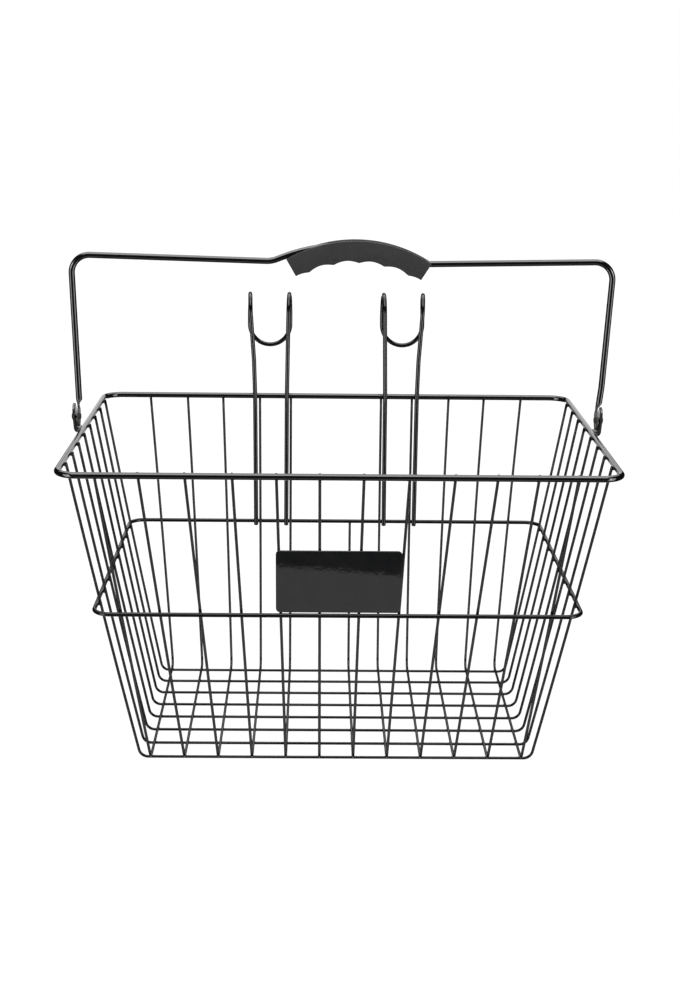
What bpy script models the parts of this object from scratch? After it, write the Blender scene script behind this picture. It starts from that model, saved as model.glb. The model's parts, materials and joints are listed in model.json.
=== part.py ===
"""Wire bicycle basket that hangs on a handlebar by two hooks, with a swinging carrying handle.

Units are metres. +Z is up, +X runs along the long side and +Y points back, to the handlebar.
Every shape is laid out about the middle of the basket's floor. The frame empty, the parent of
all of them, then brings the middle of the whole footprint, hooks included, to the origin.
"""

import math

import bmesh
import bpy
from mathutils import Matrix, Vector

# Wire gauges, as radii
RIM_RADIUS = 0.0022
RING_RADIUS = 0.0015
FILL_RADIUS = 0.0010
HOOK_RADIUS = 0.00175
HANDLE_RADIUS = 0.00225
SIDES = 8
GAP = 0.0003

# Heights of the wires' centre lines
CROSS_Z = FILL_RADIUS * math.cos(math.pi / SIDES)
FORE_AFT_Z = CROSS_Z + 2 * FILL_RADIUS + GAP
RING_Z = 0.1165
RIM_Z = 0.2153
WIRE_TIP = 0.0015

# Half sizes (X, Y) of the centre lines, and corner radii
RIM_HALF = (0.1828, 0.1313)
RIM_CORNER = 0.014
RING_HALF = (0.1632, 0.1160)
RING_CORNER = 0.0115
FLOOR_HALF = (0.1367, 0.0911)
FRONT_BEND = 0.006
BACK_BEND = 0.009
SIDE_BEND = 0.0065
WALL_SLOPE = math.radians(8.4)
RIM_CONTACT = (RIM_RADIUS + FILL_RADIUS + GAP) / math.cos(WALL_SLOPE)
RING_CONTACT = (RING_RADIUS + FILL_RADIUS + GAP) / math.cos(WALL_SLOPE)

# Spread of the fill wires, on the floor and along the rim
FORE_AFT_COUNT = 12
FORE_AFT_PITCH = 0.02346
FRONT_TOPS = (-0.158, -0.130, -0.100, -0.0695, -0.041, -0.013,
              0.0155, 0.045, 0.0745, 0.102, 0.1285, 0.154)
BACK_TOPS = (0.0120, 0.0357, 0.0602, 0.0893, 0.1173, 0.1466)
SHORT_BACK_WIRES = 1
CROSS_COUNT = 8
CROSS_PITCH = 0.02415
SIDE_PITCH = 0.0292

# Handlebar hooks: a bent wire with two legs, an arch over the bar and a loop behind it
HOOK_RIM_Y = RIM_HALF[1] - (RIM_RADIUS + HOOK_RADIUS + GAP) / math.cos(WALL_SLOPE)
HOOK_FOOT_DROP = 0.1018
HOOK_RISE = 0.0657
HOOK_ARCH_RADIUS = 0.0155
HOOK_TAIL = 0.0088
HOOK_LEG_STATIONS = (-HOOK_FOOT_DROP, 0.0, 0.0290, HOOK_RISE)
HOOK_INNER_X = (0.0389, 0.0389, 0.0385, 0.0380)
HOOK_OUTER_X = (0.0629, 0.0640, 0.0650, 0.0677)
HOOK_TAIL_X = (0.0370, 0.0695)

# Name plate, on the front wires above the middle ring
PLATE_SIZE = (0.083, 0.0455)
PLATE_THICKNESS = 0.0010
PLATE_CORNER = 0.003
PLATE_LOW_Z = RING_Z + RING_RADIUS + 0.0006

# Handle: a bent wire with an arched middle and a flattened, drilled end at each pivot
PIVOT_X = 0.1850
PIVOT_Z = RIM_Z + 0.0105
SHOULDER_X = (-0.1845, 0.1866)
RIGHT_BEND = (0.1878, RIM_Z + 0.0345)
HANDLE_TOP_X = (-0.1873, 0.1921)
HANDLE_TOP_Z = (RIM_Z + 0.1255, RIM_Z + 0.1235)
HANDLE_CORNER = 0.0125
ARCH_FOOT_Z = (RIM_Z + 0.1220, RIM_Z + 0.1208)
ARCH_PEAK_Z = RIM_Z + 0.14235
ARCH_MIDDLE_X = 0.005
ARCH_HALF = 0.0525
ARCH_FOOT_BEND = 0.020
ARCH_PEAK_BEND = 0.120
EYE_RADIUS = 0.0075
EYE_THICKNESS = 0.0012
EYE_STATIONS = (-0.0075, -0.0069, -0.0055, -0.0030, 0.0, 0.0030, 0.0055, 0.0069)
NECK_START = 0.0085
NECK_END = 0.0128
NECK_WIDTH = 0.0030

# Pivot rivets and the ears that they hold the handle to
RIVET_RADIUS = 0.0015
HOLE_RADIUS = 0.0016
OUTER_HEAD = (0.0030, 0.0013)
INNER_HEAD = (0.0026, 0.0010)
COLLAR = (0.0024, 0.0006)
OUTER_HEAD_X = 0.1890
EAR_INNER = ((0.18435, 0.00225), (0.1860, 0.0025), (0.1872, 0.0110), (0.1876, 0.0215))
EAR_OUTER = ((0.1855, 0.00045), (0.1870, 0.0015), (0.1877, 0.0030), (0.1886, 0.0110), (0.1890, 0.0215))
EAR_TOP = 0.0200
EAR_TOP_HALF = 0.0065
EAR_FOOT_HALF = 0.0095

# Finger grip, a sector of a ring with a waved lower edge
GRIP_MIDDLE = (0.0115, RIM_Z + 0.0395)
GRIP_OUTER_RADIUS = 0.0975
GRIP_INNER_RADIUS = 0.0825
GRIP_HALF_ANGLE = math.radians(31.2)
GRIP_LEAN = math.radians(1.3)
GRIP_WAVE = math.radians(12.3)
GRIP_WAVE_DEPTH = 0.0017
GRIP_HALF_THICKNESS = 0.0075

COATING = (0.012, 0.012, 0.013, 1)
PLATE_BLACK = (0.030, 0.030, 0.032, 1)
GRIP_GREY = (0.040, 0.040, 0.042, 1)


def clear_scene():
    for old in list(bpy.data.objects):
        bpy.data.objects.remove(old)


def new_collection(name):
    collection = bpy.data.collections.new(name)
    bpy.context.scene.collection.children.link(collection)
    return collection


def new_material(name, colour, roughness, metallic):
    material = bpy.data.materials.new(name)
    material.use_nodes = True
    shader = material.node_tree.nodes["Principled BSDF"]
    shader.inputs["Base Color"].default_value = colour
    shader.inputs["Roughness"].default_value = roughness
    shader.inputs["Metallic"].default_value = metallic
    return material


def coated(name):
    """The gloss black coating, as a material of the part's own."""
    return new_material(name, COATING, 0.25, 0.0)


def add(name, data, collection, material=None):
    """An object in a collection, parented to the frame empty; a cutter isn't rendered."""
    item = bpy.data.objects.new(name, data)
    collection.objects.link(item)
    item.parent = FRAME
    if material:
        data.materials.append(material)
    if collection is CUTTERS:
        item.hide_render = True
        item.display_type = "WIRE"
    return item


def fillet(before, corner, after, radius, steps):
    """Points of the arc that rounds a corner, tangent to both of its legs."""
    back = (before - corner).normalized()
    on = (after - corner).normalized()
    half = back.angle(on) / 2
    centre = corner + (back + on).normalized() * radius / math.sin(half)
    first = corner + back * radius / math.tan(half) - centre
    last = corner + on * radius / math.tan(half) - centre
    return [centre + first.slerp(last, step / steps) * radius for step in range(steps + 1)]


def rounded(corners, radii, steps, closed=False):
    """The path through the corners, each rounded by its own radius where it has one."""
    count = len(corners)
    path = []
    for index, (corner, radius) in enumerate(zip(corners, radii)):
        if not closed and index in (0, count - 1) or radius == 0:
            path.append(corner)
            continue
        before = corners[index - 1]
        after = corners[(index + 1) % count]
        path.extend(fillet(before, corner, after, radius, steps))
    return path


def wire(name, points, radius, collection, material=None, closed=False, twist="MINIMUM"):
    """A wire of round section along the points, with a flat side where the twist puts it."""
    curve = bpy.data.curves.new(name, "CURVE")
    curve.dimensions = "3D"
    curve.bevel_depth = radius
    curve.bevel_resolution = 2
    curve.use_fill_caps = True
    curve.twist_mode = twist
    spline = curve.splines.new("POLY")
    spline.use_cyclic_u = closed
    spline.points.add(len(points) - 1)
    for place, point in zip(spline.points, points):
        place.co = (*point, 1)
        place.tilt = math.pi / SIDES
    return add(name, curve, collection, material)


def plate(name, outline, thickness, collection, material=None):
    """A flat plate in the object's own XY plane, with the outline given as (x, y) points."""
    curve = bpy.data.curves.new(name, "CURVE")
    curve.dimensions = "2D"
    curve.fill_mode = "BOTH"
    curve.extrude = thickness / 2
    spline = curve.splines.new("POLY")
    spline.use_cyclic_u = True
    spline.points.add(len(outline) - 1)
    for place, point in zip(spline.points, outline):
        place.co = (point[0], point[1], 0, 1)
    return add(name, curve, collection, material)


def as_mesh(item):
    """The same object as a mesh, with the curve's loose caps welded on."""
    bpy.context.view_layer.update()
    graph = bpy.context.evaluated_depsgraph_get()
    mesh = bpy.data.meshes.new_from_object(item.evaluated_get(graph))
    work = bmesh.new()
    work.from_mesh(mesh)
    bmesh.ops.remove_doubles(work, verts=work.verts, dist=1e-6)
    bmesh.ops.recalc_face_normals(work, faces=work.faces)
    work.to_mesh(mesh)
    work.free()
    name = item.name
    place = item.matrix_world.copy()
    collection = item.users_collection[0]
    bpy.data.objects.remove(item)
    mesh.name = name
    made = add(name, mesh, collection)
    made.matrix_world = place
    return made


def cut(item, cutter, operation="DIFFERENCE"):
    modifier = item.modifiers.new(cutter.name, "BOOLEAN")
    modifier.operation = operation
    modifier.object = cutter
    modifier.solver = "EXACT"


def smooth(item, angle=40):
    item.data.shade_smooth()
    item.data.set_sharp_from_angle(angle=math.radians(angle))


def arc_outline(middle, radius, start, end, steps):
    """(x, y) points along an arc, with the angles in radians from +X."""
    angles = [start + (end - start) * step / steps for step in range(steps + 1)]
    return [(middle[0] + radius * math.cos(a), middle[1] + radius * math.sin(a)) for a in angles]


def rounded_rectangle(half_x, half_y, radius, z, steps=5):
    signs = ((1, 1), (-1, 1), (-1, -1), (1, -1))
    corners = [Vector((sx * half_x, sy * half_y, z)) for sx, sy in signs]
    return rounded(corners, [radius] * 4, steps, closed=True)


def wall_reach(axis, floor_z, z):
    """How far a fill wire's centre line stands from the middle at a height.

    The wall bows out a little: it is the parabola through the floor corner, the place where it
    meets the middle ring and the place where it meets the rim.
    """
    heights = (floor_z, RING_Z, RIM_Z)
    reaches = (FLOOR_HALF[axis], RING_HALF[axis] - RING_CONTACT, RIM_HALF[axis] - RIM_CONTACT)
    total = 0.0
    for i in range(3):
        j, k = (i + 1) % 3, (i + 2) % 3
        share = (z - heights[j]) * (z - heights[k])
        share /= (heights[i] - heights[j]) * (heights[i] - heights[k])
        total += reaches[i] * share
    return total


def upright(axis, side, floor_z, spread_low, spread_high, top_z):
    """Points up one wall, from the floor corner to the wire's tip.

    axis is the one across the wall; the spread is the wire's place along the wall.
    """
    points = []
    for share in (0.0, 0.25, 0.5, 0.75, 1.0):
        z = floor_z + (top_z - floor_z) * share
        across = side * wall_reach(axis, floor_z, z)
        rise = (z - floor_z) / (RIM_Z - floor_z)
        along = spread_low + (spread_high - spread_low) * rise
        points.append(Vector((across, along, z) if axis == 0 else (along, across, z)))
    return points


def u_wire(name, first_wall, last_wall, first_bend, last_bend):
    """A fill wire: down the first wall, across the floor and up the last wall."""
    corners = list(reversed(first_wall)) + last_wall
    radii = [0.0] * len(corners)
    radii[len(first_wall) - 1] = first_bend
    radii[len(first_wall)] = last_bend
    wire(name, rounded(corners, radii, 3), FILL_RADIUS, PARTS, coated(name), twist="Z_UP")


def make_cross_wires():
    """The lowest layer of the floor: wires from one side wall to the other."""
    top = RIM_Z + WIRE_TIP
    for index in range(CROSS_COUNT):
        place = index - (CROSS_COUNT - 1) / 2
        low, high = place * CROSS_PITCH, place * SIDE_PITCH
        left = upright(0, -1, CROSS_Z, low, high, top)
        right = upright(0, 1, CROSS_Z, low, high, top)
        u_wire(f"cross_wire_{index + 1:02d}", left, right, SIDE_BEND, SIDE_BEND)


def make_fore_aft_wires():
    """The wires on top of the cross wires, up the front wall and the back wall.

    Behind, the two in the middle stop at the ring, which leaves room for the handlebar's stem.
    """
    for index in range(FORE_AFT_COUNT):
        place = index - (FORE_AFT_COUNT - 1) / 2
        rank = int(abs(place))
        low = place * FORE_AFT_PITCH
        back_top = math.copysign(BACK_TOPS[rank], place)
        top = RIM_Z + WIRE_TIP
        back_z = (RING_Z if rank < SHORT_BACK_WIRES else RIM_Z) + WIRE_TIP
        front = upright(1, -1, FORE_AFT_Z, low, FRONT_TOPS[index], top)
        back = upright(1, 1, FORE_AFT_Z, low, back_top, back_z)
        u_wire(f"fore_aft_wire_{index + 1:02d}", front, back, FRONT_BEND, BACK_BEND)


def make_rings():
    rim = rounded_rectangle(*RIM_HALF, RIM_CORNER, RIM_Z)
    wire("top_rim", rim, RIM_RADIUS, PARTS, coated("top_rim"), closed=True)
    ring = rounded_rectangle(*RING_HALF, RING_CORNER, RING_Z)
    wire("middle_ring", ring, RING_RADIUS, PARTS, coated("middle_ring"), closed=True)


def hook_side(leg_x, tail_x):
    """Points of one leg: up from its foot, over the arch and down to the loop's start."""
    up = Vector((0, math.sin(WALL_SLOPE), math.cos(WALL_SLOPE)))
    back = Vector((0, math.cos(WALL_SLOPE), -math.sin(WALL_SLOPE)))
    base = Vector((0, HOOK_RIM_Y, RIM_Z))
    points = []
    for station, x in zip(HOOK_LEG_STATIONS, leg_x):
        points.append(base + up * station + Vector((x, 0, 0)))
    centre = base + up * HOOK_RISE + back * HOOK_ARCH_RADIUS
    steps = 8
    for step in range(1, steps + 1):
        turn = math.pi * step / steps
        x = leg_x[-1] + (tail_x - leg_x[-1]) * step / steps
        reach = up * math.sin(turn) - back * math.cos(turn)
        points.append(centre + reach * HOOK_ARCH_RADIUS + Vector((x, 0, 0)))
    points.append(points[-1] - up * HOOK_TAIL)
    return points, -up


def hook_points():
    """The whole hook on the +X side, from the inner foot to the outer foot."""
    inner, down = hook_side(HOOK_INNER_X, HOOK_TAIL_X[0])
    outer, _ = hook_side(HOOK_OUTER_X, HOOK_TAIL_X[1])
    middle = (inner[-1] + outer[-1]) / 2
    half = (outer[-1].x - inner[-1].x) / 2
    steps = 8
    loop = []
    for step in range(1, steps):
        turn = math.pi * step / steps
        sideways = Vector((-math.cos(turn) * half, 0, 0))
        loop.append(middle + sideways + down * math.sin(turn) * half)
    return inner + loop + list(reversed(outer))


def make_hooks():
    right = hook_points()
    left = [Vector((-point.x, point.y, point.z)) for point in right]
    wire("left_handlebar_hook", left, HOOK_RADIUS, PARTS, coated("left_handlebar_hook"))
    wire("right_handlebar_hook", right, HOOK_RADIUS, PARTS, coated("right_handlebar_hook"))


def make_name_plate():
    """A blank plate that lies on the outside of the front wires, parallel to the wall."""
    half_x, half_y = PLATE_SIZE[0] / 2, PLATE_SIZE[1] / 2
    outline = rounded_rectangle(half_x, half_y, PLATE_CORNER, 0, 4)
    high_z = PLATE_LOW_Z + PLATE_SIZE[1] * math.cos(WALL_SLOPE)
    low_y = wall_reach(1, FORE_AFT_Z, PLATE_LOW_Z)
    high_y = wall_reach(1, FORE_AFT_Z, high_z)
    slope = math.atan2(high_y - low_y, high_z - PLATE_LOW_Z)
    middle_z = (PLATE_LOW_Z + high_z) / 2
    stand = (FILL_RADIUS + 1.5 * GAP + PLATE_THICKNESS / 2) / math.cos(slope)
    middle_y = wall_reach(1, FORE_AFT_Z, middle_z) + stand
    material = new_material("name_plate", PLATE_BLACK, 0.2, 0.0)
    item = plate("name_plate", outline, PLATE_THICKNESS, PARTS, material)
    item.location = (0, -middle_y, middle_z)
    item.rotation_euler = (math.pi / 2 + slope, 0, 0)


def handle_path():
    """The handle's centre line, from the left eye over the arch to the right eye.

    The handle leans a little to +X, so its two sides aren't mirror images.
    """
    eye = [PIVOT_Z + height for height in (*EYE_STATIONS, NECK_START)]
    left = [Vector((-PIVOT_X, 0, z)) for z in eye]
    left.append(Vector((SHOULDER_X[0], 0, PIVOT_Z + NECK_END)))
    right = [Vector((RIGHT_BEND[0], 0, RIGHT_BEND[1]))]
    right.append(Vector((SHOULDER_X[1], 0, PIVOT_Z + NECK_END)))
    right += [Vector((PIVOT_X, 0, z)) for z in reversed(eye)]
    bends = [
        Vector((HANDLE_TOP_X[0], 0, HANDLE_TOP_Z[0])),
        Vector((ARCH_MIDDLE_X - ARCH_HALF, 0, ARCH_FOOT_Z[0])),
        Vector((ARCH_MIDDLE_X, 0, ARCH_PEAK_Z)),
        Vector((ARCH_MIDDLE_X + ARCH_HALF, 0, ARCH_FOOT_Z[1])),
        Vector((HANDLE_TOP_X[1], 0, HANDLE_TOP_Z[1])),
    ]
    radii = [HANDLE_CORNER, ARCH_FOOT_BEND, ARCH_PEAK_BEND, ARCH_FOOT_BEND, HANDLE_CORNER]
    corners = left + bends + right
    return rounded(corners, [0] * len(left) + radii + [0] * len(right), 6)


def flatten_eyes(item):
    """Forge both ends of the handle into round flat eyes with a neck up to the full wire.

    The rings of the wire near the necks are a little out of level, so each vertex is told apart
    by the heights halfway between the stations.
    """
    corner = math.sin(math.pi / SIDES)
    eye_top = (EYE_STATIONS[-1] + NECK_START) / 2
    neck_top = (NECK_START + NECK_END) / 2
    for vertex in item.data.vertices:
        height = vertex.co.z - PIVOT_Z
        if height > neck_top:
            continue
        middle = math.copysign(PIVOT_X, vertex.co.x)
        x, y = vertex.co.x - middle, vertex.co.y
        if height < eye_top:
            disc = math.sqrt(max(EYE_RADIUS**2 - height**2, 0.0015**2))
            half_width = max(disc, NECK_WIDTH) if height > 0 else disc
            squared = EYE_THICKNESS / 2 / (corner * HANDLE_RADIUS)
            x = max(-EYE_THICKNESS / 2, min(EYE_THICKNESS / 2, x * squared))
            y *= half_width / (HANDLE_RADIUS * math.cos(math.pi / SIDES))
        else:
            x *= EYE_THICKNESS / 2 / (HANDLE_RADIUS * math.cos(math.pi / SIDES))
            y *= NECK_WIDTH / HANDLE_RADIUS
            vertex.co.z = PIVOT_Z + NECK_START
        vertex.co.x = middle + x
        vertex.co.y = y


def pivot_hole(name, side):
    """A cutter along X through one pivot."""
    bpy.ops.mesh.primitive_cylinder_add(vertices=24, radius=HOLE_RADIUS, depth=0.02)
    item = bpy.context.object
    item.name = name
    for other in item.users_collection:
        other.objects.unlink(item)
    CUTTERS.objects.link(item)
    item.parent = FRAME
    item.rotation_euler = (0, math.pi / 2, 0)
    item.location = (side * PIVOT_X, 0, PIVOT_Z)
    item.hide_render = True
    item.display_type = "WIRE"
    return item


def hang_on_pivot(item):
    """Move a handle piece's origin onto the hinge axis without moving its shape."""
    item.data.transform(Matrix.Translation((0, 0, -PIVOT_Z)))
    item.location = (0, 0, PIVOT_Z)


def make_handle(holes):
    item = as_mesh(wire("handle_wire", handle_path(), HANDLE_RADIUS, PARTS))
    item.data.materials.append(coated("handle_wire"))
    flatten_eyes(item)
    smooth(item, 50)
    hang_on_pivot(item)
    for hole in holes:
        cut(item, hole)


def grip_outline():
    """The grip's (x, z) outline: outer arc, then back along the waved finger edge."""
    top = math.pi / 2 - GRIP_LEAN
    outer = arc_outline(GRIP_MIDDLE, GRIP_OUTER_RADIUS, top - GRIP_HALF_ANGLE,
                        top + GRIP_HALF_ANGLE, 20)
    steps = 30
    inner = []
    for step in range(steps + 1):
        turn = GRIP_HALF_ANGLE * (1 - 2 * step / steps)
        wave = abs(math.sin(math.pi * turn / GRIP_WAVE))
        radius = GRIP_INNER_RADIUS + GRIP_WAVE_DEPTH * wave
        inner += arc_outline(GRIP_MIDDLE, radius, top + turn, top + turn, 1)[:1]
    return outer + inner


def make_grip():
    """The moulded grip, with an open channel from above that the handle wire lies in."""
    material = new_material("handle_grip", GRIP_GREY, 0.6, 0.0)
    outline = plate("handle_grip", grip_outline(), 2 * GRIP_HALF_THICKNESS, PARTS, material)
    outline.rotation_euler = (math.pi / 2, 0, 0)
    grip = as_mesh(outline)
    clearance = HANDLE_RADIUS + GAP
    below = [p for p in handle_path() if abs(p.x - GRIP_MIDDLE[0]) < 0.08 and p.z > PIVOT_Z + 0.05]
    reach = GRIP_OUTER_RADIUS
    first, last = below[0].x - 0.02, below[-1].x + 0.02
    floor = [(p.x, p.z - clearance) for p in below]
    ends_z = min(ARCH_FOOT_Z) - clearance
    channel = [(first, ends_z)] + floor + [(last, ends_z)]
    channel += [(last, ends_z + reach), (first, ends_z + reach)]
    slot = plate("grip_channel", channel, 2 * clearance, CUTTERS)
    slot.rotation_euler = (math.pi / 2, 0, 0)
    cut(grip, as_mesh(slot))


def make_ear(name, side, hole):
    """A sheet that stands on the outside of the rim, round at the top where the rivet goes."""
    inner = [(x, RIM_Z + z) for x, z in EAR_INNER]
    outer = [(x, RIM_Z + z) for x, z in reversed(EAR_OUTER)]
    section = [(side * x, z) for x, z in inner + outer]
    strip = plate(name, section, 2 * EAR_FOOT_HALF + 0.002, PARTS, coated(name))
    strip.rotation_euler = (math.pi / 2, 0, 0)
    ear = as_mesh(strip)
    middle_z = RIM_Z + EAR_TOP - EAR_TOP_HALF
    low = RIM_Z - 0.001
    face = arc_outline((0, middle_z), EAR_TOP_HALF, 0, math.pi, 12)
    face += [(-EAR_FOOT_HALF, low), (EAR_FOOT_HALF, low)]
    shape = plate(name + "_outline", face, 0.02, CUTTERS)
    shape.rotation_euler = (math.pi / 2, 0, math.pi / 2)
    shape.location = (side * PIVOT_X, 0, 0)
    cut(ear, as_mesh(shape), "INTERSECT")
    cut(ear, hole)
    return ear


def make_rivet(name, side):
    """A rivet turned about the hinge axis, its larger head outside the ear.

    A collar on it keeps the handle's eye away from the ear.
    """
    inner = PIVOT_X - EYE_THICKNESS / 2 - GAP
    spaced = PIVOT_X + EYE_THICKNESS / 2 + GAP
    outer = OUTER_HEAD_X
    big, big_high = OUTER_HEAD
    small, small_high = INNER_HEAD
    collar, collar_high = COLLAR
    profile = [
        (0, outer + big_high),
        (big * 0.6, outer + big_high),
        (big, outer + big_high * 0.45),
        (big, outer),
        (RIVET_RADIUS, outer),
        (RIVET_RADIUS, spaced + collar_high),
        (collar, spaced + collar_high),
        (collar, spaced),
        (RIVET_RADIUS, spaced),
        (RIVET_RADIUS, inner),
        (small, inner),
        (small, inner - small_high * 0.5),
        (small * 0.6, inner - small_high),
        (0, inner - small_high),
    ]
    mesh = bpy.data.meshes.new(name)
    points = [(r, 0, h - PIVOT_X) for r, h in profile]
    mesh.from_pydata(points, [(i, i + 1) for i in range(len(points) - 1)], [])
    item = add(name, mesh, PARTS, new_material(name, COATING, 0.3, 0.0))
    turn = item.modifiers.new("turn", "SCREW")
    turn.steps = turn.render_steps = 24
    turn.use_merge_vertices = True
    turn.merge_threshold = 0.00001
    turn.use_smooth_shade = True
    item.rotation_euler = (0, side * math.pi / 2, 0)
    item.location = (side * PIVOT_X, 0, PIVOT_Z)


def make_pivots():
    holes = []
    for name, side in (("left", -1), ("right", 1)):
        hole = pivot_hole(f"{name}_pivot_hole", side)
        make_ear(f"{name}_handle_ear", side, hole)
        make_rivet(f"{name}_pivot_rivet", side)
        holes.append(hole)
    return holes


def centre_footprint():
    """Move the frame so that the middle of everything's footprint is the origin."""
    bpy.context.view_layer.update()
    graph = bpy.context.evaluated_depsgraph_get()
    places = []
    for item in PARTS.objects:
        if item is not FRAME:
            mesh = item.evaluated_get(graph).to_mesh()
            places += [item.matrix_world @ vertex.co for vertex in mesh.vertices]
    for axis in (0, 1):
        reaches = [place[axis] for place in places]
        FRAME.location[axis] = -(min(reaches) + max(reaches)) / 2


clear_scene()
PARTS = new_collection("handlebar_basket")
CUTTERS = new_collection("cutters")
CUTTERS.hide_render = True
FRAME = bpy.data.objects.new("basket_frame", None)
PARTS.objects.link(FRAME)
make_rings()
make_cross_wires()
make_fore_aft_wires()
make_hooks()
make_name_plate()
make_handle(make_pivots())
make_grip()
centre_footprint()
bpy.context.view_layer.update()
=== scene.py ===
import json
import math

import bmesh
import bpy
from mathutils import Matrix, Vector


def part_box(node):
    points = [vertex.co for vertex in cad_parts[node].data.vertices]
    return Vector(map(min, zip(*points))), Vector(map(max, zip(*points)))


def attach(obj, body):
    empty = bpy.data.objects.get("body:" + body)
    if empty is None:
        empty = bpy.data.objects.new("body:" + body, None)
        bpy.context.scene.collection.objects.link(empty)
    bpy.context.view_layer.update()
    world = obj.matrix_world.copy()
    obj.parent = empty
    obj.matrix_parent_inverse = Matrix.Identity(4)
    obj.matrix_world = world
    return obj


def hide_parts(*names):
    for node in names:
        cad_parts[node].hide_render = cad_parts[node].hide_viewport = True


# Looks of a wire bicycle basket: gloss black coated wires with their welds, forged handle eyes,
# riveted ears, a blank name plate and a moulded finger grip. Units are metres, +Z is up, +X runs
# along the basket and +Y points back to the handlebar. Shapes are laid out about the middle of
# the rim, which the frame gives.

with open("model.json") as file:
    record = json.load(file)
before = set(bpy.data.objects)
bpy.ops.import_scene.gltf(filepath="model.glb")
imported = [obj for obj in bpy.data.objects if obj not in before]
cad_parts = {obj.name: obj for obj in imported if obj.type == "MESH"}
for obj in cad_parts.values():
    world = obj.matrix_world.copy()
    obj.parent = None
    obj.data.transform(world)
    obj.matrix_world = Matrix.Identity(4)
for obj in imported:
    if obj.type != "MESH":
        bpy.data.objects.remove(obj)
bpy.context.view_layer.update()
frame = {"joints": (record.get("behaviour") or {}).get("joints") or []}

# Wire gauges, as radii
RIM_RADIUS = 0.0022
RING_RADIUS = 0.0015
FILL_RADIUS = 0.0010
HOOK_RADIUS = 0.00175
HANDLE_RADIUS = 0.00225
GAP = 0.0003
FLAT = math.cos(math.pi / 8)  # the CAD wires are eight-sided, with flats on their outsides

# Places that the frame gives
RIM_LOW, RIM_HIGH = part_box("top_rim")
RING_LOW, RING_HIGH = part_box("middle_ring")
MIDDLE = (RIM_LOW + RIM_HIGH) / 2
RIM_Z = MIDDLE.z
RING_Z = (RING_LOW.z + RING_HIGH.z) / 2
RIM_HALF = [(RIM_HIGH[a] - RIM_LOW[a]) / 2 - RIM_RADIUS * FLAT for a in (0, 1)]
RING_HALF = [(RING_HIGH[a] - RING_LOW[a]) / 2 - RING_RADIUS * FLAT for a in (0, 1)]
HINGE = Vector(frame["joints"][0]["pos_m"])
SHIFT = Vector((MIDDLE.x, MIDDLE.y, 0))

# The basket's wires
RIM_CORNER = 0.014
RING_CORNER = 0.0115
FLOOR_HALF = (0.1367, 0.0911)
CROSS_Z = FILL_RADIUS * FLAT
FORE_AFT_Z = CROSS_Z + 2 * FILL_RADIUS + GAP
WIRE_TIP = 0.0012
DOME_HEIGHT = 0.55
FRONT_BEND = 0.006
BACK_BEND = 0.009
SIDE_BEND = 0.0065
WALL_SLOPE = math.radians(8.4)
RIM_CONTACT = (RIM_RADIUS + FILL_RADIUS + GAP) / math.cos(WALL_SLOPE)
RING_CONTACT = (RING_RADIUS + FILL_RADIUS + GAP) / math.cos(WALL_SLOPE)
FORE_AFT_COUNT = 12
FORE_AFT_PITCH = 0.02346
FRONT_TOPS = (-0.158, -0.130, -0.100, -0.0695, -0.041, -0.013,
              0.0155, 0.045, 0.0745, 0.102, 0.1285, 0.154)
BACK_TOPS = (0.0120, 0.0357, 0.0602, 0.0893, 0.1173, 0.1466)
SHORT_BACK_WIRES = 1
CROSS_COUNT = 8
CROSS_PITCH = 0.02415
SIDE_PITCH = 0.0292

# Handlebar hooks: leg stations up the wall from the rim, and the legs' distances from the middle
HOOK_RIM_Y = RIM_HALF[1] - (RIM_RADIUS + HOOK_RADIUS + GAP) / math.cos(WALL_SLOPE)
HOOK_FOOT_DROP = 0.1018
HOOK_RISE = 0.0657
HOOK_ARCH_RADIUS = 0.0155
HOOK_TAIL = 0.0088
HOOK_LEG_STATIONS = (-HOOK_FOOT_DROP, 0.0, 0.0290, HOOK_RISE)
HOOK_INNER_X = (0.0389, 0.0389, 0.0385, 0.0380)
HOOK_OUTER_X = (0.0629, 0.0640, 0.0650, 0.0677)
HOOK_TAIL_X = (0.0370, 0.0695)

# Name plate
PLATE_SIZE = (0.083, 0.0455)
PLATE_THICKNESS = 0.0010
PLATE_CORNER = 0.003
PLATE_EDGE = 0.00025
PLATE_LOW_Z = RING_Z + RING_RADIUS + 0.0006

# Handle
PIVOT_X = 0.1850
SHOULDER_X = (-0.1845, 0.1866)
RIGHT_BEND = (0.1878, RIM_Z + 0.0345)
RIGHT_BEND_RADIUS = 0.1
HANDLE_TOP_X = (-0.1873, 0.1921)
HANDLE_TOP_Z = (RIM_Z + 0.1255, RIM_Z + 0.1235)
HANDLE_CORNER = 0.0125
ARCH_FOOT_Z = (RIM_Z + 0.1220, RIM_Z + 0.1208)
ARCH_PEAK_Z = RIM_Z + 0.14235
ARCH_MIDDLE_X = 0.005
ARCH_HALF = 0.0525
ARCH_FOOT_BEND = 0.020
ARCH_PEAK_BEND = 0.120
EYE_RADIUS = 0.0074
EYE_THICKNESS = 0.0012
NECK_START = 0.0085
NECK_END = 0.0126
NECK_HALF_WIDTH = 0.0030

# Ears and rivets: (x, height above the rim's centre) down the ear's two faces
EAR_INNER = ((0.18435, 0.00225), (0.1860, 0.0025), (0.1872, 0.0110), (0.1876, 0.0215))
EAR_OUTER = ((0.1855, 0.00045), (0.1870, 0.0015), (0.1877, 0.0030), (0.1886, 0.0110),
             (0.1890, 0.0215))
EAR_TOP = 0.0199
EAR_TOP_HALF = 0.0064
EAR_FOOT_HALF = 0.0094
RIVET_RADIUS = 0.0015
HOLE_RADIUS = 0.0016
RIVET_OUTER = (0.0029, 0.0012)
RIVET_INNER = (0.0025, 0.0009)
COLLAR = (0.0024, 0.1865)
OUTER_HEAD_X = 0.1890
EAR_EDGE = 0.0003
EAR_SPARE = 0.001  # how far the strip and its cutter run past each other
CUTTER_LENGTH = 0.02

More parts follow.
